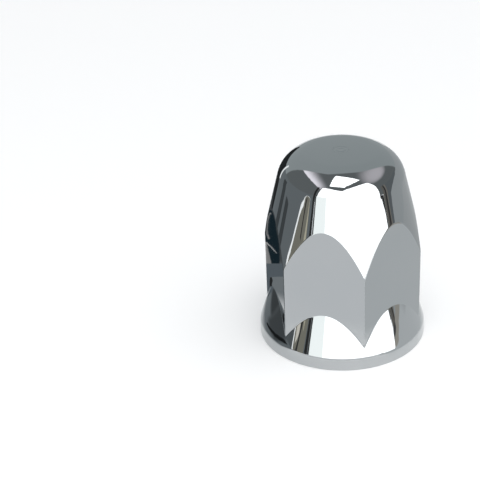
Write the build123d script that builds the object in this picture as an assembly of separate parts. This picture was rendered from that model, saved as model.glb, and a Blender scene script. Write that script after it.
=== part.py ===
from build123d import *
import math
import os

# Wheel nut cover cap, one moulded piece with a bright plated skin.
# Millimetres, +Z up. The open rim stands on z = 0 and the closed crown is on top.
# A corner of the hexagon points along +X.

# The nut that the cap is pushed onto
nut_across_flats = 33.0

# Sizes over all
rim_radius = 25.4
total_height = 60.0
wall = 1.9

# Flared rim band
band_height = 3.2
band_flare = 0.66
rim_edge_break = 0.25

# Skirt, a cone that bends upright just above the band
skirt_angle = 19.8
skirt_bend_radius = 13.0

# Hexagon
hex_across_flats = 41.8
hex_edge_round = 0.45

# Bullet, the turned form that cuts the top of the hexagon in arches
bullet_angle = 13.4
bullet_corner_height = 29.4
shoulder_radius = 9.7
crown_radius = 130.0
crown_wall = 2.5

# Ledge that stops the cap on the nut, with the bore for the stud's end above it
ledge_height = 35.5
bore_radius = 15.0
bore_top_break = 2.2
bore_mouth_break = 0.45

# Hollow pockets behind the corners of the hexagon
pocket_chord = 19.8

# Six pads that grip the flats of the nut
pad_width = 12.7
pad_ridge_height = 23.5
pad_tip_height = 18.0
pad_tip_step = 0.7
pad_ridge_round = 5.0

# Small ribs on the wall of the bore
long_rib_count = 5
long_rib_width = 0.6
short_rib_width = 0.9
short_rib_length = 4.6
short_rib_turn = 18.0
rib_depth = 0.35
rib_start = 1.2

# Sizes that follow from the ones above
skirt_radius = rim_radius - band_flare
hex_apothem = hex_across_flats / 2
hex_corner = hex_apothem / math.cos(math.radians(30))
inner_apothem = hex_apothem - wall
inner_corner = inner_apothem / math.cos(math.radians(30))
bore_top = total_height - crown_wall
bullet_slope = math.tan(math.radians(bullet_angle))
skirt_slope = math.tan(math.radians(skirt_angle))


def bullet_radius(height, inset=0.0):
    """Radius of the bullet's cone at a height, moved inwards by inset."""
    base = hex_corner - (height - bullet_corner_height) * bullet_slope
    return base - inset / math.cos(math.radians(bullet_angle))


def shoulder_centre(corner_round):
    """Centre of an arc that touches the bullet's cone and the crown from inside."""
    lean = math.radians(bullet_angle)
    start_r = hex_corner - corner_round * math.cos(lean)
    start_z = bullet_corner_height - corner_round * math.sin(lean)
    crown_z = total_height - crown_radius
    reach = crown_radius - corner_round
    rise = start_z - crown_z
    half = rise * math.cos(lean) - start_r * math.sin(lean)
    rest = start_r ** 2 + rise ** 2 - reach ** 2
    step = -half + math.sqrt(half ** 2 - rest)
    return start_r - step * math.sin(lean), start_z + step * math.cos(lean)


def turned(edges):
    """Solid of revolution about Z from a closed line in the XZ plane."""
    return revolve(make_face(edges), Axis.Z, 360)


def xz(radius, height):
    return Vector(radius, 0, height)


def on_arc(centre_r, centre_z, radius, angle):
    """Point in the XZ plane on a circle, at an angle above the horizontal."""
    return xz(centre_r + radius * math.cos(angle), centre_z + radius * math.sin(angle))


def soft_corner(start, corner, end):
    """Round arc from start to end that touches the two lines that meet in the corner."""
    turn = (corner - start).get_angle(end - corner)
    return Bezier(start, corner, end, weights=[1, math.cos(math.radians(turn / 2)), 1])


def outer_bullet():
    """Cone, shoulder and shallow crown."""
    lean = math.radians(bullet_angle)
    centre_r, centre_z = shoulder_centre(shoulder_radius)
    crown_z = total_height - crown_radius
    bottom_z = band_height + wall
    tilt = math.atan2(centre_z - crown_z, centre_r)
    cone_end = on_arc(centre_r, centre_z, shoulder_radius, lean)
    corner_reach = shoulder_radius / math.cos((tilt - lean) / 2)
    corner = on_arc(centre_r, centre_z, corner_reach, (tilt + lean) / 2)
    crown_start = on_arc(0, crown_z, crown_radius, tilt)
    crown_mid = on_arc(0, crown_z, crown_radius, (tilt + math.pi / 2) / 2)
    edges = [
        Line(xz(0, bottom_z), xz(bullet_radius(bottom_z), bottom_z)),
        Line(xz(bullet_radius(bottom_z), bottom_z), cone_end),
        soft_corner(cone_end, corner, crown_start),
        ThreePointArc(crown_start, crown_mid, xz(0, total_height)),
        Line(xz(0, total_height), xz(0, bottom_z)),
    ]
    return turned(edges)


def skirt_edges(inset, top_radius, foot_break):
    """Rim band, bend and cone of the skirt, moved inwards by inset.

    With an edge break at the foot, as outside, the bend is an arc. The inside runs straight across it.
    """
    lean = math.radians(skirt_angle)
    bend_radius = skirt_bend_radius - inset
    bend_r = skirt_radius - skirt_bend_radius
    rim = xz(rim_radius - inset, 0)
    band_top = xz(skirt_radius - inset, band_height)
    foot = xz(rim.X - foot_break, 0)
    band_foot = rim + (band_top - rim).normalized() * foot_break
    bend_end = on_arc(bend_r, band_height, bend_radius, lean)
    bend = Line(band_top, bend_end)
    foot_edges = [Line(xz(0, 0), rim)]
    if foot_break > 0:
        bend = ThreePointArc(band_top, on_arc(bend_r, band_height, bend_radius, lean / 2), bend_end)
        foot_edges = [Line(xz(0, 0), foot), Line(foot, band_foot)]
    top_z = bend_end.Z + (bend_end.X - top_radius) / skirt_slope
    top = xz(top_radius, top_z)
    return foot_edges + [
        Line(band_foot, band_top),
        bend,
        Line(bend_end, top),
        Line(top, xz(0, top_z)),
        Line(xz(0, top_z), xz(0, 0)),
    ]


def hexagon(corner_radius):
    return RegularPolygon(radius=corner_radius, side_count=6)


def outer_form():
    """Bullet cut to a hexagon, standing on the turned skirt."""
    outline = fillet(hexagon(hex_corner).vertices(), hex_edge_round)
    prism = extrude(outline, amount=total_height)
    skirt = turned(skirt_edges(0, hex_apothem - wall / 2, rim_edge_break))
    return (outer_bullet() & prism) + skirt


def inner_cone():
    """The bullet's cone inside the wall, from below the pads to above the pockets."""
    low = pad_tip_height - wall
    high = ledge_height + 3 * wall
    edges = [
        Line(xz(0, low), xz(bullet_radius(low, wall), low)),
        Line(xz(bullet_radius(low, wall), low), xz(bullet_radius(high, wall), high)),
        Line(xz(bullet_radius(high, wall), high), xz(0, high)),
        Line(xz(0, high), xz(0, low)),
    ]
    return turned(edges)


def hex_hollow():
    """Hexagonal room for the nut up to the ledge, with the six corner pockets above it."""
    room = hexagon(inner_corner)
    chords = Rot(0, 0, 30) * hexagon(pocket_chord / math.cos(math.radians(30)))
    low = pad_tip_height - wall
    nut_room = Pos(0, 0, low) * extrude(room, amount=ledge_height - low)
    pockets = Pos(0, 0, ledge_height - wall) * extrude(room - chords, amount=4 * wall)
    lower_room = Pos(0, 0, band_height) * extrude(room, amount=low - band_height)
    return ((nut_room + pockets) & inner_cone()) + lower_room


def bore():
    """Round bore above the ledge, closed by the flat underside of the crown."""
    low = ledge_height - wall
    mouth = xz(bore_radius + bore_mouth_break, ledge_height)
    bore_start = xz(bore_radius, ledge_height + bore_mouth_break)
    bore_end = xz(bore_radius, bore_top - bore_top_break)
    under_start = xz(bore_radius - bore_top_break, bore_top)
    edges = [
        Line(xz(0, low), xz(mouth.X, low)),
        Line(xz(mouth.X, low), mouth),
        Line(mouth, bore_start),
        Line(bore_start, bore_end),
        Line(bore_end, under_start),
        Line(under_start, xz(0, bore_top)),
        Line(xz(0, bore_top), xz(0, low)),
    ]
    return turned(edges)


def grip_pad():
    """One pad on the flat that faces +X: it leans in to a rounded ridge and back out to its tip."""
    ridge_half_angle = math.atan((inner_apothem - nut_across_flats / 2) / (ledge_height - pad_ridge_height))
    entry_half_angle = math.atan(
        (inner_apothem - pad_tip_step - nut_across_flats / 2) / (pad_ridge_height - pad_tip_height))
    turn = (ridge_half_angle + entry_half_angle) / 2
    sharp = nut_across_flats / 2 - pad_ridge_round * (1 / math.cos(turn) - 1)
    root = inner_apothem + wall / 2
    points = [
        xz(root, ledge_height + wall / 2),
        xz(inner_apothem, ledge_height + wall / 2),
        xz(inner_apothem, ledge_height),
        xz(sharp, pad_ridge_height),
        xz(inner_apothem - pad_tip_step, pad_tip_height),
        xz(root, pad_tip_height),
    ]
    side = make_face(Polyline(points, close=True))
    ridge = side.vertices().sort_by(Axis.X)[0]
    side = fillet(ridge, pad_ridge_round)
    return extrude(side, amount=pad_width / 2, both=True)


def rib(width, low, high, angle):
    middle = bore_radius + wall / 2 - rib_depth / 2
    block = Pos(middle, 0, (low + high) / 2) * Box(rib_depth + wall, width, high - low)
    return Rot(0, 0, angle) * block


def bore_ribs():
    low = ledge_height + rib_start
    long_top = bore_top - bore_top_break - rib_start
    ribs = []
    for count in range(long_rib_count):
        angle = 30 + count * 360 / long_rib_count
        ribs.append(rib(long_rib_width, low, long_top, angle))
        for side in (-1, 1):
            turned_angle = angle + side * short_rib_turn
            ribs.append(rib(short_rib_width, low, low + short_rib_length, turned_angle))
    return ribs


def nut_cover():
    inner_skirt = turned(skirt_edges(wall, inner_apothem - wall / 2, 0))
    cover = outer_form() - inner_skirt - hex_hollow() - bore()
    for count in range(6):
        cover += Rot(0, 0, 30 + 60 * count) * grip_pad()
    return cover + bore_ribs()


os.makedirs("parts", exist_ok=True)
cover = nut_cover()
export_step(cover, "parts/nut_cover.step")
print("solids", len(cover.solids()), "volume mm3", round(cover.volume), "valid", cover.is_valid)
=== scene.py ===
import bmesh
import bpy
import math
from mathutils import Matrix, Vector


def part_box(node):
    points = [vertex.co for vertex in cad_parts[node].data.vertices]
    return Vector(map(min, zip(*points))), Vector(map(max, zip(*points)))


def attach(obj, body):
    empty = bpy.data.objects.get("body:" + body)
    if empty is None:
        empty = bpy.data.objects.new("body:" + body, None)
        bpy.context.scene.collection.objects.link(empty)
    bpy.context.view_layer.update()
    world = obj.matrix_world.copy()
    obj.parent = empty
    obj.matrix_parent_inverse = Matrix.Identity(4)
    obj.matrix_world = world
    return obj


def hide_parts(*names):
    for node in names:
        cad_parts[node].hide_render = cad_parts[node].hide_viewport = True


# Wheel nut cover cap: one moulded piece with bright plating outside and duller plating inside.
# The mesh is worked out column by column round the axis, in millimetres, and placed in metres.
# A corner of the hexagon points along +X, and the open rim stands on z = 0.

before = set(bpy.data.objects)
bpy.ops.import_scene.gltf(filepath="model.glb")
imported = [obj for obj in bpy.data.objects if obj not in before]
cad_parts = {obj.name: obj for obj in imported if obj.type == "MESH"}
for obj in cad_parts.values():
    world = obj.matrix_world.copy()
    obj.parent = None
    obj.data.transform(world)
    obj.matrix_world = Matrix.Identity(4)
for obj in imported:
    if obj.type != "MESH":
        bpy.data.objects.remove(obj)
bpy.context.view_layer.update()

MM = 0.001

# Height over all, from the frame
total_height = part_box("nut_cover")[1][2] / MM

# Wall, and the inside of the rim band and the skirt
rim_radius = 25.4
wall = 1.9
band_height = 3.2
band_flare = 0.66
rim_edge_break = 0.25
skirt_angle = math.radians(19.8)
skirt_bend_radius = 13.0

# Outside: a nearly upright band, and a straight cone from it to the middle of each flat
foot_radius = 25.36
band_top_radius = 25.2
band_top_height = 3.6
band_top_reach = 0.5
skirt_top_height = 16.1

# Hexagon and bullet
flat_count = 6
hex_across_flats = 41.8
hex_edge_round = 0.45
crease_reach = 0.38
bullet_angle = math.radians(13.4)
bullet_corner_height = 29.4
shoulder_radius = 9.7
crown_radius = 130.0
crown_wall = 2.5

# Inside
nut_across_flats = 33.0
ledge_height = 35.5
bore_radius = 15.0
bore_mouth_break = 0.45
bore_top_break = 2.2
pocket_chord = 19.8
pad_width = 12.7
pad_ridge_height = 23.5
pad_tip_height = 18.0
pad_tip_step = 0.7
pad_ridge_round = 5.0
pad_edge_round = 0.3
pad_tip_drop = pad_edge_round * 0.6

# Faint ring and dimple at the middle of the crown, as pairs of radius and depth
gate_mark = (
    (2.4, 0.0), (2.05, 0.0), (1.9, 0.03), (1.75, 0.075), (1.6, 0.03), (1.45, 0.0), (1.0, 0.0),
    (0.75, 0.02), (0.55, 0.08), (0.35, 0.11), (0.0, 0.12))

# Small ribs in the bore
long_rib_count = 5
first_rib_angle = 30
long_rib_width = 0.6
short_rib_width = 0.9
short_rib_length = 4.6
short_rib_turn = 18.0
rib_depth = 0.35
rib_start = 1.2

# Sizes that follow. half_flat_angle is in degrees, and half_hex is the same in radians.
flat_angle = 360 / flat_count
half_flat_angle = flat_angle / 2
half_hex = math.radians(half_flat_angle)
skirt_radius = rim_radius - band_flare
hex_apothem = hex_across_flats / 2
hex_corner = hex_apothem / math.cos(half_hex)
inner_apothem = hex_apothem - wall
bore_top = total_height - crown_wall
bullet_slope = math.tan(bullet_angle)
skirt_slope = math.tan(skirt_angle)
long_rib_top = bore_top - bore_top_break - rib_start

# Fineness of the mesh. A guard row just beside a crease keeps the shading of the face next to it even.
column_step = 2.0
column_clearance = 0.3 * column_step
corner_columns = 5
guard_gap = 0.04
crease_rows = 3
band_crease_rows = 6
skirt_rows = 10
flat_rows = 9
cone_rows = 12
shoulder_rows = 24
inner_rim_rows = 2
inner_skirt_rows = 5
inner_wall_rows = 3
pocket_rows = (2, 3, 2)
bore_end_rows = 8
bore_floor_rows = 5
merge_distance = 0.002 * MM
sharp_angle = math.radians(28)
shading_weight = 90

# Rows as shares of the way: up the band outside, up the band and its bend inside, in over the crown,
# up a pad, and in over the ledge
band_shares = (0.3, 0.6, 0.85)
inner_band_shares = (0.5, 1.0)
crown_shares = (0.93, 0.86, 0.78, 0.7, 0.6, 0.5, 0.4, 0.3, 0.22)
pad_shares = (
    0.0, 0.012, 0.08, 0.16, 0.22, 0.245, 0.27, 0.295, 0.32, 0.345, 0.37, 0.4, 0.5, 0.65, 0.8, 0.93, 1.0)
ledge_shares = (0.35, 0.7, 1.0)

# Column within the rounded edge of a pad, as a share of the rounding
pad_round_share = 0.3

# Material slots of the mesh
CHROME, INSIDE = 0, 1

# Floor: half its width in metres, and the light that it adds for the camera, metal and glass
FLOOR_HALF = 1.6
FLOOR_LIFT = 0.13

# Heights in metres of the cards and patches on the floor, so that those that overlap don't flicker
GROUND_FRONT = 0.0003
GROUND_BASE = 0.0004
GROUND_UPPER = 0.0005
GROUND_NEAR = 0.0006
GROUND_PATCH = 0.0008
GROUND_STROKE = 0.001

# Degrees that one flat piece of a band spans, and one of a card on the floor
BAND_STEP = 3
GROUND_STEP = 5

# Room: tones, the angles that point in from the back wall's upright edges, and fades, as the values at
# which a part starts and is full.
# Places on the ceiling are measured from the point above the object, in heights of the ceiling.
ROOM_TONE = (0.19, 0.205, 0.21)
LOWEST_RISE = 0.02
WALL_TONE = (0.435, 0.475, 0.485)
WALL_INWARD_ANGLES = (131, 207)
WALL_EDGE_FADE = (-0.02, 0.04)
WALL_TOP_FADE = (-0.17, -0.25)
LEFT_GLOW_TONE = (1.5, 1.42, 1.52)
LEFT_GLOW_SLANT = 0.37
LEFT_GLOW_FADE = (-0.36, -0.84)
LEFT_GLOW_EDGE_FADE = (-0.93, -0.88)
LEFT_GLOW_END_FADE = (1.2, 0.1)
RIGHT_GLOW_TONE = (0.76, 0.72, 0.76)
RIGHT_GLOW_MIDDLE = 0.87
RIGHT_GLOW_HALF_SIZES = (0.9, 0.62)


def lerp(a, b, t):
    """The value at a share t of the way from a to b."""
    return a + (b - a) * t


def steps(a, b, count):
    """Evenly spaced values from a to b, both included."""
    return [lerp(a, b, i / count) for i in range(count + 1)]


def soft_turn(before, corner, after, count):
    """Points of a small curve that rounds the corner between two points beside it."""
    points = []
    for t in steps(0.0, 1.0, count):
        first = (lerp(before[0], corner[0], t), lerp(before[1], corner[1], t))
        second = (lerp(corner[0], after[0], t), lerp(corner[1], after[1], t))
        points.append((lerp(first[0], second[0], t), lerp(first[1], second[1], t)))
    return points


def between(start, end, shares):
    """Points on the line from start to end, at shares of its length."""
    return [(lerp(start[0], end[0], t), lerp(start[1], end[1], t)) for t in shares]


def toward(start, end, reach):
    """The point at a distance from start, on the line to end."""
    length = math.hypot(end[0] - start[0], end[1] - start[1])
    return (lerp(start[0], end[0], reach / length), lerp(start[1], end[1], reach / length))


def outer_hex_radius(turn):
    """Distance of the hexagon from the axis, with rounded corners. turn is from a flat's middle."""
    from_corner = half_hex - abs(turn)
    centre = (hex_apothem - hex_edge_round) / math.cos(half_hex)
    tangent = math.atan2((hex_apothem - hex_edge_round) * math.tan(half_hex), hex_apothem)
    if abs(turn) <= tangent:
        return hex_apothem / math.cos(turn)
    reach = hex_edge_round ** 2 - (centre * math.sin(from_corner)) ** 2
    return centre * math.cos(from_corner) + math.sqrt(reach)


def bullet_height(radius, inset=0.0):
    """Height at which the bullet's cone, moved inwards by inset, has a radius."""
    base = hex_corner - inset / math.cos(bullet_angle)
    return bullet_corner_height + (base - radius) / bullet_slope


def shoulder_centre():
    """Centre of the arc that touches the bullet's cone and the crown from inside."""
    start_r = hex_corner - shoulder_radius * math.cos(bullet_angle)
    start_z = bullet_corner_height - shoulder_radius * math.sin(bullet_angle)
    rise = start_z - (total_height - crown_radius)
    half = rise * math.cos(bullet_angle) - start_r * math.sin(bullet_angle)
    rest = start_r ** 2 + rise ** 2 - (crown_radius - shoulder_radius) ** 2
    step = -half + math.sqrt(half ** 2 - rest)
    return start_r - step * math.sin(bullet_angle), start_z + step * math.cos(bullet_angle)


def inner_cone_start():
    """Lowest point of the skirt's cone inside, where it meets the bend above the band."""
    centre_r = skirt_radius - skirt_bend_radius
    radius = skirt_bend_radius - wall
    return (centre_r + radius * math.cos(skirt_angle), band_height + radius * math.sin(skirt_angle))


def inner_skirt_height(radius):
    """Height at which the inside of the skirt's cone has a radius."""
    cone_r, cone_z = inner_cone_start()
    return cone_z + (cone_r - radius) / skirt_slope


def outer_skirt_height(radius):
    """Height at which the outside of the skirt has a radius, between the band and the middle of a flat."""
    share = (band_top_radius - radius) / (band_top_radius - hex_apothem)
    return lerp(band_top_height, skirt_top_height, share)


def outer_profile(turn):
    """Radius and height along the outside of one column, from the foot of the rim up to the crown."""
    flat_r = outer_hex_radius(turn)
    low_z = outer_skirt_height(flat_r)
    high_z = bullet_height(flat_r)

    # Foot, band and skirt
    rim = (foot_radius, 0.0)
    band_top = (band_top_radius, band_top_height)
    corner = (flat_r, low_z)
    foot = (foot_radius - rim_edge_break, 0.0)
    points = soft_turn(foot, rim, toward(rim, band_top, rim_edge_break), crease_rows)
    crease = toward(band_top, rim, band_top_reach)
    points += between(points[-1], crease, band_shares)
    points += soft_turn(crease, band_top, toward(band_top, corner, band_top_reach), band_crease_rows)
    start = toward(corner, band_top, crease_reach)
    points += between(points[-1], start, steps(0, 1, skirt_rows)[1:-1])
    points += [toward(start, points[-1], guard_gap)]

    # Flat of the hexagon
    points += soft_turn(start, corner, (flat_r, low_z + crease_reach), crease_rows)
    points += [(flat_r, low_z + crease_reach + guard_gap)]
    points += [(flat_r, z) for z in steps(low_z + crease_reach, high_z - crease_reach, flat_rows)[1:-1]]
    points += [(flat_r, high_z - crease_reach - guard_gap)]

    # Cone and shoulder of the bullet
    centre_r, centre_z = shoulder_centre()
    crown_z = total_height - crown_radius
    tilt = math.atan2(centre_z - crown_z, centre_r)
    shoulder = [
        (centre_r + shoulder_radius * math.cos(angle), centre_z + shoulder_radius * math.sin(angle))
        for angle in steps(bullet_angle, tilt, shoulder_rows)]
    top = (flat_r, high_z)
    after = toward(top, shoulder[0], crease_reach)
    points += soft_turn((flat_r, high_z - crease_reach), top, after, crease_rows)
    points += [toward(after, shoulder[0], guard_gap)]
    points += between(after, shoulder[0], steps(0, 1, cone_rows)[1:])
    points += shoulder[1:]

    # Crown, with the mark at its middle
    crown = [(crown_radius * math.cos(tilt) * share, 0.0) for share in crown_shares]
    for radius, depth in crown + list(gate_mark):
        points.append((radius, crown_z + math.sqrt(crown_radius ** 2 - radius ** 2) - depth))
    return points


def pad_distance(height):
    """Distance of a pad's face from the axis, measured square to its flat."""
    ridge_lean = math.atan((inner_apothem - nut_across_flats / 2) / (ledge_height - pad_ridge_height))
    tip = inner_apothem - pad_tip_step
    entry_lean = math.atan((tip - nut_across_flats / 2) / (pad_ridge_height - pad_tip_height))
    turn = (ridge_lean + entry_lean) / 2
    sharp = nut_across_flats / 2 - pad_ridge_round * (1 / math.cos(turn) - 1)
    entry = math.atan((tip - sharp) / (pad_ridge_height - pad_tip_height))
    rise = math.atan((inner_apothem - sharp) / (ledge_height - pad_ridge_height))
    reach = pad_ridge_round * math.tan((entry + rise) / 2)
    low = pad_ridge_height - reach * math.cos(entry)
    high = pad_ridge_height + reach * math.cos(rise)
    if height <= low:
        return lerp(tip, sharp, (height - pad_tip_height) / (pad_ridge_height - pad_tip_height))
    if height >= high:
        return lerp(sharp, inner_apothem, (height - pad_ridge_height) / (ledge_height - pad_ridge_height))
    centre_z = low + pad_ridge_round * math.sin(entry)
    low_a = lerp(tip, sharp, (low - pad_tip_height) / (pad_ridge_height - pad_tip_height))
    centre_a = low_a + pad_ridge_round * math.cos(entry)
    return centre_a - math.sqrt(pad_ridge_round ** 2 - (height - centre_z) ** 2)


def inner_profile(turn, in_pad, in_pocket, rib_top):
    """Points along the inside of one column, from the rim's foot to the middle of the bore's end.

    Each point is (square, radius, height). On a plane face, square is the distance from the axis square
    to the flat and radius is None. On a turned face, square is None.
    """
    wall_r = inner_apothem / math.cos(turn)
    sideways = inner_apothem * math.tan(turn)
    rim = (rim_radius - wall, 0.0)
    band_top = (skirt_radius - wall, band_height)
    cone_start = inner_cone_start()
    wall_low = inner_skirt_height(wall_r)
    foot = (rim[0] + rim_edge_break, 0.0)
    line = soft_turn(foot, rim, toward(rim, band_top, rim_edge_break), inner_rim_rows)
    line += [toward(rim, band_top, band_height * share) for share in inner_band_shares]
    line += between(band_top, cone_start, inner_band_shares)
    line += [(r, inner_skirt_height(r)) for r in steps(cone_start[0], wall_r, inner_skirt_rows)[1:]]
    points = [(None, r, z) for r, z in line]
    points += [(inner_apothem, None, z) for z in steps(wall_low, pad_tip_height, inner_wall_rows)[1:]]

    # Pad, or bare wall, up to the ledge
    pocket_wall = bullet_height(wall_r, wall)
    top = min(pocket_wall, ledge_height) if in_pocket else ledge_height
    edge_gap = pad_width / 2 - pad_edge_round - abs(sideways)
    edge_drop = 0.0
    if edge_gap < 0:
        edge_drop = pad_edge_round - math.sqrt(max(0.0, pad_edge_round ** 2 - edge_gap ** 2))
    for index, part in enumerate(pad_shares):
        height = lerp(pad_tip_height, top, part)
        square = inner_apothem
        if in_pad:
            drop = edge_drop + (pad_tip_drop if index == 0 else 0.0)
            square = min(inner_apothem, pad_distance(height) + drop)
        points.append((square, None, height))

    # Pocket behind the corner: up the wall, in along the bullet's cone, down the chord
    chord_r = pocket_chord / math.cos(half_hex - abs(turn))
    if in_pocket:
        chord_r = min(chord_r, wall_r)
        chord_top = bullet_height(chord_r, wall)
        up, across, down = pocket_rows
        points += [(inner_apothem, None, z) for z in steps(top, pocket_wall, up)[1:]]
        for t in steps(0, 1, across)[1:]:
            points.append((None, lerp(wall_r, chord_r, t), lerp(pocket_wall, chord_top, t)))
        points += [(None, chord_r, z) for z in steps(chord_top, ledge_height, down)[1:]]
        ledge_r = chord_r
    else:
        points += [(inner_apothem, None, ledge_height)] * sum(pocket_rows)
        ledge_r = wall_r

    # Ledge and bore
    mouth_r = bore_radius + bore_mouth_break
    points += [(None, lerp(ledge_r, mouth_r, t), ledge_height) for t in ledge_shares]
    bore_start = (bore_radius, ledge_height + bore_mouth_break)
    mouth = soft_turn((mouth_r, ledge_height), (bore_radius, ledge_height), bore_start, crease_rows)
    points += [(None, r, z) for r, z in mouth[1:]]
    low_z = ledge_height + rib_start
    short_z = low_z + short_rib_length
    for height in (low_z, short_z, long_rib_top):
        below = bore_radius - rib_depth if low_z < height <= rib_top else bore_radius
        above = bore_radius - rib_depth if height < rib_top else bore_radius
        points += [(None, below, height), (None, above, height)]
    end_r = bore_radius - bore_top_break
    bore_end = (bore_radius, bore_top - bore_top_break)
    end = soft_turn(bore_end, (bore_radius, bore_top), (end_r, bore_top), bore_end_rows)
    points += [(None, r, z) for r, z in end]
    points += [(None, r, bore_top) for r in steps(end_r, 0.0, bore_floor_rows)[1:]]
    return points


def rib_spans():
    """Ribs of the bore as (first angle, last angle, top height), in degrees."""
    spans = []
    low_z = ledge_height + rib_start
    for count in range(long_rib_count):
        middle = first_rib_angle + count * 360 / long_rib_count
        half = math.degrees(long_rib_width / 2 / bore_radius)
        spans.append((middle - half, middle + half, long_rib_top))
        half = math.degrees(short_rib_width / 2 / bore_radius)
        for side in (-1, 1):
            spot = middle + side * short_rib_turn
            spans.append((spot - half, spot + half, low_z + short_rib_length))
    return spans


def column_angles():
    """Angles of all columns in degrees, and of a pad's edge and a pocket's from their flat's middle.

    The columns are an even spread, and one at each edge that runs along the axis.
    """
    pad_edge = math.degrees(math.atan(pad_width / 2 / inner_apothem))
    pad_soft = math.degrees(math.atan((pad_width / 2 - pad_edge_round) / inner_apothem))
    pad_soft_mid = math.degrees(math.atan((pad_width / 2 - pad_edge_round * pad_round_share) / inner_apothem))
    inner_corner = inner_apothem / math.cos(half_hex)
    chord_gap = (inner_corner - pocket_chord) / math.sin(half_hex)
    chord_side = inner_apothem * math.tan(half_hex) - chord_gap
    pocket_edge = math.degrees(math.atan(chord_side / inner_apothem))
    soft_side = (hex_apothem - hex_edge_round) * math.tan(half_hex)
    soft_edge = math.degrees(math.atan2(soft_side, hex_apothem))
    turns = [0.0]
    corner_turns = steps(soft_edge, half_flat_angle, corner_columns)[:-1]
    for turn in [pad_soft, pad_soft_mid, pad_edge, pocket_edge] + corner_turns:
        turns += [turn, -turn]
    special = [half_flat_angle + flat_angle * flat + turn for flat in range(flat_count) for turn in turns]
    special += [flat_angle * flat for flat in range(flat_count)]
    for first, last, _ in rib_spans():
        special += [first, last]
    special = sorted(set(round(angle % 360.0, 6) for angle in special))
    plain = []
    for count in range(int(360 / column_step)):
        angle = count * column_step
        nearest = min(min(abs(angle - other), 360 - abs(angle - other)) for other in special)
        if nearest > column_clearance:
            plain.append(angle)
    return sorted(special + plain), pad_edge, pocket_edge


def column_points(angle, flat, in_pad, in_pocket, rib_top):
    """Places of one column's points, from the bore's end out over the rim and up to the crown."""
    middle = math.radians(half_flat_angle + flat_angle * flat)
    turn = math.radians(angle) - middle
    turn = (turn + math.pi) % (2 * math.pi) - math.pi
    turn = max(-half_hex, min(half_hex, turn))
    along = Vector((math.cos(middle + turn), math.sin(middle + turn), 0))
    normal = Vector((math.cos(middle), math.sin(middle), 0))
    across = Vector((-math.sin(middle), math.cos(middle), 0))
    places = []
    for square, radius, height in reversed(inner_profile(turn, in_pad, in_pocket, rib_top)):
        if square is None:
            place = along * radius
        else:
            place = normal * square + across * (inner_apothem * math.tan(turn))
        places.append(place + Vector((0, 0, height)))
    inner_count = len(places)
    for radius, height in outer_profile(turn):
        places.append(along * radius + Vector((0, 0, height)))
    return places, inner_count


def cap_mesh():
    """Faces between neighbouring columns. Where a pad or rib starts, a strip closes its side."""
    angles, pad_edge, pocket_edge = column_angles()
    spans = rib_spans()
    mesh = bmesh.new()
    first = None
    last = None
    first_flags = None
    last_flags = None

    def add_strip(left, right, inner_count):
        for row in range(len(left) - 1):
            face = mesh.faces.new((left[row], right[row], right[row + 1], left[row + 1]))
            face.smooth = True
            face.material_index = INSIDE if row < inner_count - 1 else CHROME

    for index, angle in enumerate(angles):
        following = angles[(index + 1) % len(angles)]
        width = (following - angle) % 360.0
        middle = (angle + width / 2) % 360.0
        flat = int(middle // flat_angle)
        turn = abs(middle - half_flat_angle - flat_angle * flat)
        tops = [top for low, high, top in spans if (middle - low) % 360.0 < high - low]
        flags = (turn < pad_edge, turn > pocket_edge, tops[0] if tops else 0.0)
        pair = []
        for side in (angle, angle + width):
            places, inner_count = column_points(side, flat, *flags)
            pair.append([mesh.verts.new(place * MM) for place in places])
        add_strip(pair[0], pair[1], inner_count)
        if last is not None and flags != last_flags and flags[1] == last_flags[1]:
            add_strip(last, pair[0], inner_count)
        if first is None:
            first, first_flags = pair[0], flags
        last, last_flags = pair[1], flags
    if first_flags != last_flags and first_flags[1] == last_flags[1]:
        add_strip(last, first, inner_count)
    bmesh.ops.remove_doubles(mesh, verts=mesh.verts, dist=merge_distance)
    bmesh.ops.dissolve_degenerate(mesh, edges=mesh.edges, dist=merge_distance)
    bmesh.ops.recalc_face_normals(mesh, faces=mesh.faces)
    data = bpy.data.meshes.new("nut_cover_skin")
    mesh.to_mesh(data)
    mesh.free()
    return data


def mark_sharp(data, limit):
    """Split the shading at edges that turn by more than the limit."""
    mesh = bmesh.new()
    mesh.from_mesh(data)
    for edge in mesh.edges:
        if len(edge.link_faces) == 2 and edge.calc_face_angle(0) > limit:
            edge.smooth = False
    mesh.to_mesh(data)
    mesh.free()


def new_material(name):
    """A new material, with its nodes, its links and its shader."""
    material = bpy.data.materials.new(name)
    material.use_nodes = True
    tree = material.node_tree
    return material, tree.nodes, tree.links, tree.nodes["Principled BSDF"]


def add_noise(nodes, links, place, scale, detail):
    """Soft noise between 0 and 1."""
    noise = nodes.new("ShaderNodeTexNoise")
    noise.inputs["Scale"].default_value = scale
    noise.inputs["Detail"].default_value = detail
    links.new(place, noise.inputs["Vector"])
    return noise.outputs["Fac"]


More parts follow.
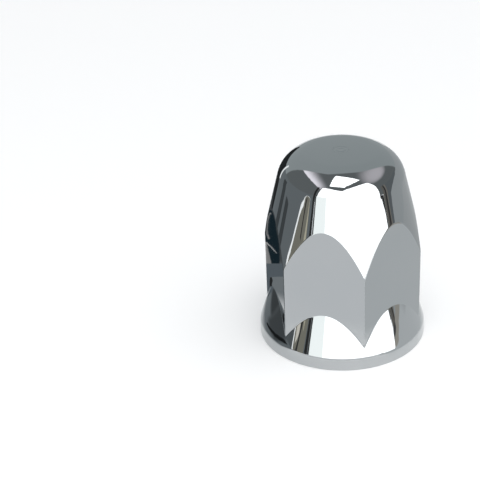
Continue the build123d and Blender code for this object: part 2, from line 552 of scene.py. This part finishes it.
def plating_material(name, clouds, tones, polish_range, relief, bump_strength, bump_distance):
    """Metal whose tone and polish change in soft clouds, over a fine relief.

    clouds and relief are pairs of a noise's scale and detail.
    """
    material, nodes, links, shader = new_material(name)
    shader.inputs["Metallic"].default_value = 1.0
    place = nodes.new("ShaderNodeTexCoord").outputs["Object"]
    tint = add_noise(nodes, links, place, *clouds)
    colours = nodes.new("ShaderNodeValToRGB")
    for stop, tone in zip(colours.color_ramp.elements, tones):
        stop.color = (*tone, 1)
    polish = nodes.new("ShaderNodeMapRange")
    polish.inputs["To Min"].default_value, polish.inputs["To Max"].default_value = polish_range
    bump = nodes.new("ShaderNodeBump")
    bump.inputs["Strength"].default_value = bump_strength
    bump.inputs["Distance"].default_value = bump_distance
    links.new(tint, colours.inputs["Fac"])
    links.new(tint, polish.inputs["Value"])
    links.new(colours.outputs["Color"], shader.inputs["Base Color"])
    links.new(polish.outputs["Result"], shader.inputs["Roughness"])
    links.new(add_noise(nodes, links, place, *relief), bump.inputs["Height"])
    links.new(bump.outputs["Normal"], shader.inputs["Normal"])
    return material


def chrome_material():
    """Mirror plating with the faint waviness and clouded polish of a moulded part."""
    return plating_material(
        "bright_plating", clouds=(60.0, 3.0), tones=((0.45, 0.474, 0.486), (0.485, 0.5, 0.507)),
        polish_range=(0.012, 0.05), relief=(110.0, 2.0), bump_strength=0.06, bump_distance=0.00012)


def inside_material():
    """Thinner, warmer and duller plating inside, with a fine moulded grain."""
    return plating_material(
        "inside_plating", clouds=(90.0, 4.0), tones=((0.56, 0.52, 0.44), (0.68, 0.645, 0.57)),
        polish_range=(0.08, 0.18), relief=(900.0, 3.0), bump_strength=0.12, bump_distance=0.00006)


def add_cap():
    """The cap: one mesh with two platings, in place of the CAD's node."""
    data = cap_mesh()
    mark_sharp(data, sharp_angle)
    cap = bpy.data.objects.new("nut_cover_plated", data)
    bpy.context.scene.collection.objects.link(cap)
    cap.data.materials.append(chrome_material())
    cap.data.materials.append(inside_material())
    weighted = cap.modifiers.new("even_shading", "WEIGHTED_NORMAL")
    weighted.keep_sharp = True
    weighted.weight = shading_weight
    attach(cap, "root")
    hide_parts("nut_cover")


def calculate(nodes, links, operation, first, second):
    """A Math node's result. Both operands are sockets or numbers."""
    node = nodes.new("ShaderNodeMath")
    node.operation = operation
    for socket, operand in zip(node.inputs, (first, second)):
        if isinstance(operand, (int, float)):
            socket.default_value = operand
        else:
            links.new(operand, socket)
    return node.outputs["Value"]


def smooth_rise(nodes, links, value, low, high):
    """0 where the value is at low, 1 where it is at high, and a soft curve between."""
    rise = nodes.new("ShaderNodeMapRange")
    rise.interpolation_type = "SMOOTHSTEP"
    rise.inputs["From Min"].default_value = low
    rise.inputs["From Max"].default_value = high
    links.new(value, rise.inputs["Value"])
    return rise.outputs["Result"]


def emission_material(name, colour, strength):
    """A surface that only glows, for the soft boxes and the cards round the object."""
    material = bpy.data.materials.new(name)
    material.use_nodes = True
    nodes = material.node_tree.nodes
    nodes.remove(nodes["Principled BSDF"])
    glow = nodes.new("ShaderNodeEmission")
    glow.inputs["Color"].default_value = (*colour, 1)
    glow.inputs["Strength"].default_value = strength
    material.node_tree.links.new(glow.outputs["Emission"], nodes["Material Output"].inputs["Surface"])
    return material


def add_stage_piece(name, corners, faces, material, lights_object):
    """A card or soft box outside the picture. Cards show only in the plating."""
    data = bpy.data.meshes.new(name)
    data.from_pydata(corners, [], faces)
    piece = bpy.data.objects.new(name, data)
    bpy.context.scene.collection.objects.link(piece)
    data.materials.append(material)
    piece.visible_camera = False
    piece.visible_shadow = False
    piece.visible_diffuse = lights_object


def around(radius, angle, height):
    """The place at an angle in degrees round the axis."""
    turn = math.radians(angle)
    return (radius * math.cos(turn), radius * math.sin(turn), height)


def strip_faces(corners):
    """Faces of an upright strip whose corners come in pairs, low and high."""
    return [(i, i + 2, i + 3, i + 1) for i in range(0, len(corners) - 2, 2)]


def add_card(name, radius, outline, colour, strength):
    """A card curved round the object. Its outline is pairs of angle in degrees and height in metres."""
    corners = [around(radius, angle, height) for angle, height in outline]
    glow = emission_material(name, colour, strength)
    add_stage_piece(name, corners, [tuple(range(len(corners)))], glow, False)


def add_band(name, radius, start, end, low, high, colour, strength):
    """A card of even height from one angle in degrees to another, made of short flat pieces."""
    corners = []
    count = max(2, int(abs(end - start) / BAND_STEP))
    for angle in steps(start, end, count):
        corners += [around(radius, angle, low), around(radius, angle, high)]
    glow = emission_material(name, colour, strength)
    add_stage_piece(name, corners, strip_faces(corners), glow, False)


def add_ground_card(name, inner, outer, start, end, soft, colour, strength, height=GROUND_BASE):
    """A card of painted shade on the floor round the object, which only the plating sees. It fades in over
    soft degrees and soft millimetres.
    """
    corners = []
    count = max(2, int(abs(end - start) / GROUND_STEP))
    for angle in steps(start, end, count):
        corners += [around(inner, angle, height), around(outer, angle, height)]
    facing_up = [(a, d, c, b) for a, b, c, d in strip_faces(corners)]
    material = emission_material(name, colour, strength)
    nodes, links = material.node_tree.nodes, material.node_tree.links
    parts = nodes.new("ShaderNodeSeparateXYZ")
    links.new(nodes.new("ShaderNodeTexCoord").outputs["Object"], parts.inputs["Vector"])
    middle = math.radians((start + end) / 2)
    half = math.radians(abs(end - start) / 2)
    along = calculate(
        nodes, links, "ADD", calculate(nodes, links, "MULTIPLY", parts.outputs["X"], math.cos(middle)),
        calculate(nodes, links, "MULTIPLY", parts.outputs["Y"], math.sin(middle)))
    across = calculate(
        nodes, links, "SUBTRACT", calculate(nodes, links, "MULTIPLY", parts.outputs["Y"], math.cos(middle)),
        calculate(nodes, links, "MULTIPLY", parts.outputs["X"], math.sin(middle)))
    turn = calculate(nodes, links, "ABSOLUTE", calculate(nodes, links, "ARCTAN2", across, along), 0.0)
    radius = calculate(
        nodes, links, "SQRT", calculate(
            nodes, links, "ADD", calculate(nodes, links, "MULTIPLY", across, across),
            calculate(nodes, links, "MULTIPLY", along, along)), 0.0)
    share = calculate(
        nodes, links, "MULTIPLY", smooth_rise(nodes, links, turn, half, half - math.radians(soft)),
        smooth_rise(nodes, links, radius, inner, inner + soft * MM))
    clear = nodes.new("ShaderNodeBsdfTransparent")
    mix = nodes.new("ShaderNodeMixShader")
    links.new(share, mix.inputs[0])
    links.new(clear.outputs["BSDF"], mix.inputs[1])
    links.new(nodes["Emission"].outputs["Emission"], mix.inputs[2])
    links.new(mix.outputs["Shader"], nodes["Material Output"].inputs["Surface"])
    add_stage_piece(name, corners, facing_up, material, False)


def add_ground_patch(name, outline, colour, strength, height):
    """A flat patch just above the floor. Its outline is pairs of radius in millimetres and angle."""
    corners = [around(radius * MM, angle, height) for radius, angle in outline]
    glow = emission_material(name, colour, strength)
    add_stage_piece(name, corners, [tuple(range(len(corners)))], glow, False)


def add_panel(name, radius, top, colour, strength, widen=1.0, rise=0.0):
    """A curved panel that stands on the floor. Its top edge is pairs of angle and height.

    widen stretches the angles and rise lifts the edge, for a frame that shows round another panel.
    """
    corners = []
    for angle, height in top:
        corners += [around(radius, angle * widen, 0.0), around(radius, angle * widen, height + rise)]
    glow = emission_material(name, colour, strength)
    add_stage_piece(name, corners, strip_faces(corners), glow, False)


def add_studio():
    """A broad panel in front, a soft box above it, and the darker things that stood round the object."""
    warm, plain, cool = (1.0, 0.94, 0.84), (1, 1, 1), (0.86, 0.95, 1.0)
    panel_top = (
        (-57.5, 0.0), (-57.5, 0.09), (-56.5, 0.13), (-55.5, 0.232), (-54, 0.345), (-40, 0.348),
        (-26, 0.321), (-14.5, 0.296), (-2, 0.357), (17.5, 0.412), (36, 0.422), (46, 0.402), (49.5, 0.326),
        (51.4, 0.237), (51.4, 0.13), (49, 0.1), (49.5, 0.03), (54, 0.022), (57, 0.012), (57.3, 0.0))
    add_panel("front_panel", 0.33, panel_top, plain, 2.8)
    add_panel("front_frame", 0.336, panel_top, plain, 0.05, widen=1.022, rise=0.016)
    add_band("front_panel_side", 0.325, -57.5, -40, 0.0, 0.12, (0.97, 1.0, 0.985), 1.85)
    softbox = [(-0.023, -0.043, 0.6), (0.207, 0.204, 0.6), (0.477, -0.074, 0.6), (0.330, -0.308, 0.6)]
    glow = emission_material("top_softbox", plain, 3.2)
    add_stage_piece("top_softbox", softbox, [(0, 1, 2, 3)], glow, True)

    # Left of the object: dark wall, and a leaning plate with a bright edge
    add_band("left_wall", 0.13, -178, -57.6, 0.0, 0.075, cool, 0.25)
    add_band("left_line", 0.126, -61.5, -57.8, 0.0, 0.15, plain, 0.04)
    left_cards = (
        ("left_plate", 0.12, (1.0, 0.96, 0.8), 0.31, (
            (-71.6, 0.0592), (-73, 0.0545), (-76, 0.0435), (-79, 0.0395), (-84, 0.029), (-88, 0.018),
            (-90, 0.0), (-62.5, 0.0), (-62, 0.02), (-65, 0.034), (-65, 0.044), (-66.3, 0.051),
            (-67.6, 0.057), (-69.6, 0.0602))),
        ("left_plate_edge", 0.119, plain, 1.7, (
            (-72, 0.061), (-77, 0.045), (-80, 0.0408), (-85, 0.0302), (-89.3, 0.0185), (-91.5, 0.0),
            (-89.6, 0.0), (-87.6, 0.0178), (-83.6, 0.0287), (-78.6, 0.0392), (-75.6, 0.0432),
            (-71.8, 0.0585))),
        ("left_plate_rim", 0.1188, plain, 1.3, (
            (-72.4, 0.0575), (-71.6, 0.061), (-69.8, 0.0622), (-67.6, 0.0592), (-66.0, 0.0525),
            (-65.2, 0.045), (-65.6, 0.045), (-66.6, 0.052), (-68, 0.0575), (-69.9, 0.0603),
            (-71.2, 0.0593), (-71.8, 0.057))),
        ("left_plate_dark", 0.119, plain, 0.05, (
            (-70.5, 0.05), (-76.5, 0.027), (-80, 0.0), (-77, 0.0), (-73.5, 0.027), (-69.8, 0.048))),
        ("left_plate_pale", 0.119, (1.0, 0.93, 0.72), 0.75, (
            (-67, 0.046), (-69.5, 0.02), (-70, 0.0), (-67, 0.0), (-66.8, 0.022), (-65.8, 0.044))),
        ("left_foot_shade", 0.114, cool, 0.16, (
            (-80, 0.0125), (-93, 0.01), (-93, 0.0), (-77, 0.0))),
        ("left_foot_line", 0.113, plain, 1.6, (
            (-79.3, 0.016), (-80.6, 0.016), (-77.4, 0.0), (-75.9, 0.0))),
        ("left_foot_pale", 0.1125, warm, 1.0, (
            (-73, 0.0175), (-77, 0.0125), (-75.4, 0.004), (-72.3, 0.009))),
        ("left_foot_dark", 0.1125, plain, 0.06, (
            (-71, 0.018), (-72, 0.008), (-74.6, 0.0), (-70.4, 0.0), (-68, 0.018))),
    )
    for name, radius, colour, strength, outline in left_cards:
        add_card(name, radius, outline, colour, strength)
    add_band("left_shade_a", 0.126, -113, -106, 0.0, 0.03, cool, 0.1)
    add_band("left_shade_b", 0.126, -129, -120, 0.0, 0.06, cool, 0.1)
    add_band("left_shade_c", 0.126, -176, -150, 0.0, 0.06, cool, 0.1)
    add_band("left_far_line", 0.125, -147.5, -144, 0.03, 0.092, plain, 1.5)
    add_band("left_far_dark", 0.1245, -178, -148.5, 0.0, 0.075, cool, 0.03)

    # Right of the object
    add_band("right_wall", 0.2, 57.4, 104, 0.0, 0.12, cool, 0.2)
    pale_top = (
        (64, 0.0), (66.6, 0.005), (70, 0.012), (74, 0.023), (76, 0.04), (80, 0.064), (88, 0.084),
        (96, 0.094), (104, 0.1), (120, 0.1), (136, 0.095), (150, 0.08), (150.1, 0.0))
    add_panel("right_wall_pale", 0.1975, pale_top, (0.93, 0.98, 1.0), 0.52)
    add_band("right_strip_a", 0.198, 57.4, 61, 0.0, 0.12, warm, 0.2)
    add_band("right_strip_b", 0.198, 61, 63.5, 0.0, 0.12, plain, 0.06)
    add_band("right_strip_c", 0.198, 63.5, 66.5, 0.0, 0.12, warm, 0.28)

    # Painted shade on the floor on both sides: darker cards that only the plating sees, where the floor it
    # mirrors lies in shade. On the left they also stand for the dark caps beside the object.
    front_shade_tone, right_shade_tone = (0.965, 0.98, 1.0), (0.95, 0.985, 1.0)
    add_ground_card("front_ground_shade", 0.034, 0.325, -62, 22, 12, front_shade_tone, 0.95, GROUND_FRONT)
    add_ground_card("right_ground", 0.0268, 0.197, 18, 150, 9, right_shade_tone, 0.75)
    add_ground_card("right_ground_far", 0.08, 0.197, 74, 150, 16, right_shade_tone, 0.55, GROUND_UPPER)
    add_ground_card("left_ground", 0.027, 0.1295, -182, -66, 10, cool, 0.24)
    add_ground_card("left_ground_dark", 0.047, 0.1295, -182, -110, 9, cool, 0.085, GROUND_UPPER)
    add_ground_card("left_ground_near", 0.038, 0.118, -119, -84, 8, cool, 0.1, GROUND_NEAR)

    # What the lowest faces mirror. The loop, upright and diagonal are thin lines on the left flat.
    patches = (
        ("left_ground_line", cool, 0.02, GROUND_PATCH, (
            (37, -109), (39, -104), (45, -96), (49, -92.5), (59, -88), (73, -84.5), (90, -82),
            (90, -85.5), (81, -88), (66, -92), (53, -97), (48, -100), (41, -107), (38.5, -111))),
        ("left_ground_blade", (0.36, 0.74, 1.0), 0.03, GROUND_PATCH, (
            (91.9, -156.3), (90.6, -154.7), (86.1, -153.7), (80.2, -152.2), (74.4, -150.8), (68.9, -149.0),
            (63.5, -147.1), (58.2, -145.1), (52.2, -142.5), (50.3, -148.8), (66.3, -153.3),
            (80.9, -155.9))),
        ("left_ground_middle", (0.74, 0.88, 1.0), 0.16, GROUND_PATCH, (
            (50.3, -148.8), (52.7, -141.0), (45.2, -135.8), (42.9, -141.1), (34.8, -135.4),
            (33.7, -139.0))),
        ("left_ground_loop", plain, 0.3, GROUND_STROKE, (
            (86.3, -154.3), (86.8, -154.7), (83.8, -154.8), (79.6, -154.4), (73.7, -153.5), (70.1, -152.8),
            (66.7, -151.4), (67.3, -151.2), (70.6, -152.5), (73.8, -153.2), (79.7, -154.1), (83.2, -154.4),
            (85.4, -154.5), (85.3, -154.1))),
        ("left_ground_upright", plain, 0.38, GROUND_STROKE, (
            (65.7, -152.5), (64.5, -151.4), (50.5, -146.7), (50.2, -147.7))),
        ("left_ground_wedge", plain, 0.27, GROUND_STROKE, (
            (63.8, -151.2), (50.9, -145.2), (50.5, -146.7))),
        ("left_ground_diagonal", plain, 0.55, GROUND_STROKE, (
            (64.9, -151.5), (63.3, -150.4), (60.8, -148.3), (58.3, -146.0), (58.0, -146.0), (60.3, -148.3),
            (62.6, -150.3), (64.0, -151.3))),
        ("left_ground_spot", cool, 0.03, GROUND_STROKE, (
            (42.2, -141.1), (42.7, -140.5), (40.8, -138.7), (37.2, -136.5), (36.4, -136.8),
            (39.8, -139.7))),
        # Painted highlight: a patch far brighter than the floor, a glare of light on the floor that the
        # plating mirrors.
        ("right_ground_painted_highlight", plain, 2.8, GROUND_PATCH, (
            (66, 30), (74, 40), (80, 45), (86, 48), (114, 51), (176, 55), (248, 57), (328, 57.3),
            (328, 44), (200, 40), (120, 35))),
        ("right_ground_wedge", warm, 0.5, GROUND_PATCH, (
            (86, 48), (114, 51), (176, 55), (197, 57.5), (197, 79), (134, 78), (133, 71), (122, 64),
            (98, 57), (78, 50))),
        ("right_ground_streak", plain, 0.1, GROUND_STROKE, (
            (128, 52.3), (176, 55), (197, 57.5), (197, 62), (160, 60), (140, 57))),
    )
    for name, colour, strength, height, outline in patches:
        add_ground_patch(name, outline, colour, strength, height)


def add_floor():
    """Plain white floor. The camera, metal and glass see it a little lighter, and its shadow stays."""
    material, nodes, links, shader = new_material("pale_floor")
    shader.inputs["Base Color"].default_value = (0.9, 0.9, 0.9, 1)
    shader.inputs["Roughness"].default_value = 0.9
    shader.inputs["Specular IOR Level"].default_value = 0.0
    shader.inputs["Emission Color"].default_value = (1, 1, 1, 1)
    path = nodes.new("ShaderNodeLightPath").outputs
    seen = calculate(nodes, links, "MAXIMUM", path["Is Camera Ray"], path["Is Glossy Ray"])
    seen = calculate(nodes, links, "MAXIMUM", seen, path["Is Transmission Ray"])
    lift = calculate(nodes, links, "MULTIPLY", seen, FLOOR_LIFT)
    links.new(lift, shader.inputs["Emission Strength"])
    data = bpy.data.meshes.new("floor_sheet")
    size = FLOOR_HALF
    corners = [(-size, -size, 0), (size, -size, 0), (size, size, 0), (-size, size, 0)]
    data.from_pydata(corners, [], [(0, 1, 2, 3)])
    floor = bpy.data.objects.new("floor_sheet", data)
    bpy.context.scene.collection.objects.link(floor)
    floor.data.materials.append(material)


def add_world():
    """A dim room: a lighter grey wall behind the object, and a darker ceiling with two soft glows."""
    world = bpy.data.worlds.new("studio")
    bpy.context.scene.world = world
    world.use_nodes = True
    nodes, links = world.node_tree.nodes, world.node_tree.links
    direction = nodes.new("ShaderNodeTexCoord").outputs["Generated"]
    parts = nodes.new("ShaderNodeSeparateXYZ")
    links.new(direction, parts.inputs["Vector"])
    x, y, z = (parts.outputs[axis] for axis in "XYZ")

    # Ceiling coordinates: how far out the direction meets a plane of height 1
    rise = calculate(nodes, links, "MAXIMUM", z, LOWEST_RISE)
    out_x = calculate(nodes, links, "DIVIDE", x, rise)
    out_y = calculate(nodes, links, "DIVIDE", y, rise)

    # Back wall, between two upright edges and below the ceiling
    sides = []
    for angle in WALL_INWARD_ANGLES:
        turn = math.radians(angle)
        along_x = calculate(nodes, links, "MULTIPLY", x, math.cos(turn))
        along_y = calculate(nodes, links, "MULTIPLY", y, math.sin(turn))
        inwards = calculate(nodes, links, "ADD", along_x, along_y)
        sides.append(smooth_rise(nodes, links, inwards, *WALL_EDGE_FADE))
    low_part = smooth_rise(nodes, links, out_x, *WALL_TOP_FADE)
    wall_part = calculate(nodes, links, "MULTIPLY", calculate(nodes, links, "MULTIPLY", *sides), low_part)

    # Left glow: brightest at a straight edge that runs across the ceiling
    slant = calculate(nodes, links, "MULTIPLY", out_x, LEFT_GLOW_SLANT)
    slanted = calculate(nodes, links, "ADD", out_y, slant)
    left_glow = calculate(
        nodes, links, "MULTIPLY", smooth_rise(nodes, links, slanted, *LEFT_GLOW_FADE),
        smooth_rise(nodes, links, slanted, *LEFT_GLOW_EDGE_FADE))
    end_part = smooth_rise(nodes, links, out_x, *LEFT_GLOW_END_FADE)
    left_glow = calculate(nodes, links, "MULTIPLY", left_glow, end_part)

    # Right glow: a soft spot
    from_middle = calculate(nodes, links, "SUBTRACT", out_y, RIGHT_GLOW_MIDDLE)
    squares = []
    for part, half_size in zip((out_x, from_middle), RIGHT_GLOW_HALF_SIZES):
        share = calculate(nodes, links, "DIVIDE", part, half_size)
        squares.append(calculate(nodes, links, "POWER", share, 2.0))
    right_glow = smooth_rise(nodes, links, calculate(nodes, links, "ADD", *squares), 1.0, 0.0)

    colour = None
    layers = (
        (right_glow, RIGHT_GLOW_TONE),
        (left_glow, LEFT_GLOW_TONE),
        (wall_part, WALL_TONE),
    )
    for share, tone in layers:
        mix = nodes.new("ShaderNodeMix")
        mix.data_type = "RGBA"
        if colour is None:
            mix.inputs["A"].default_value = (*ROOM_TONE, 1)
        else:
            links.new(colour, mix.inputs["A"])
        mix.inputs["B"].default_value = (*tone, 1)
        links.new(share, mix.inputs["Factor"])
        colour = mix.outputs["Result"]
    links.new(colour, nodes["Background"].inputs["Color"])


def add_fill():
    """Broad light from above, which the plating doesn't mirror."""
    data = bpy.data.lights.new("ceiling_fill", "SUN")
    data.energy = 1.6
    data.angle = math.radians(80)
    fill = bpy.data.objects.new("ceiling_fill", data)
    fill.rotation_euler = (math.radians(-12), math.radians(14), 0)
    fill.visible_glossy = False
    bpy.context.scene.collection.objects.link(fill)


def add_camera():
    """Camera where the photograph was taken from, in the model's frame."""
    place = Vector((330.86, -93.02, 218.03)) * MM
    right = Vector((0.206701, 0.977495, -0.042176))
    up = Vector((-0.460501, 0.135230, 0.877298))
    back = right.cross(up)
    data = bpy.data.cameras.new("camera")
    data.sensor_width = 36.0
    data.lens = 97.5
    data.clip_start = 0.01
    camera = bpy.data.objects.new("camera", data)
    camera.matrix_world = Matrix((
        (right.x, up.x, back.x, place.x),
        (right.y, up.y, back.y, place.y),
        (right.z, up.z, back.z, place.z),
        (0, 0, 0, 1)))
    bpy.context.scene.collection.objects.link(camera)
    bpy.context.scene.camera = camera


add_cap()
add_floor()
add_studio()
add_fill()
add_world()
add_camera()
bpy.context.scene.view_settings.view_transform = "Standard"
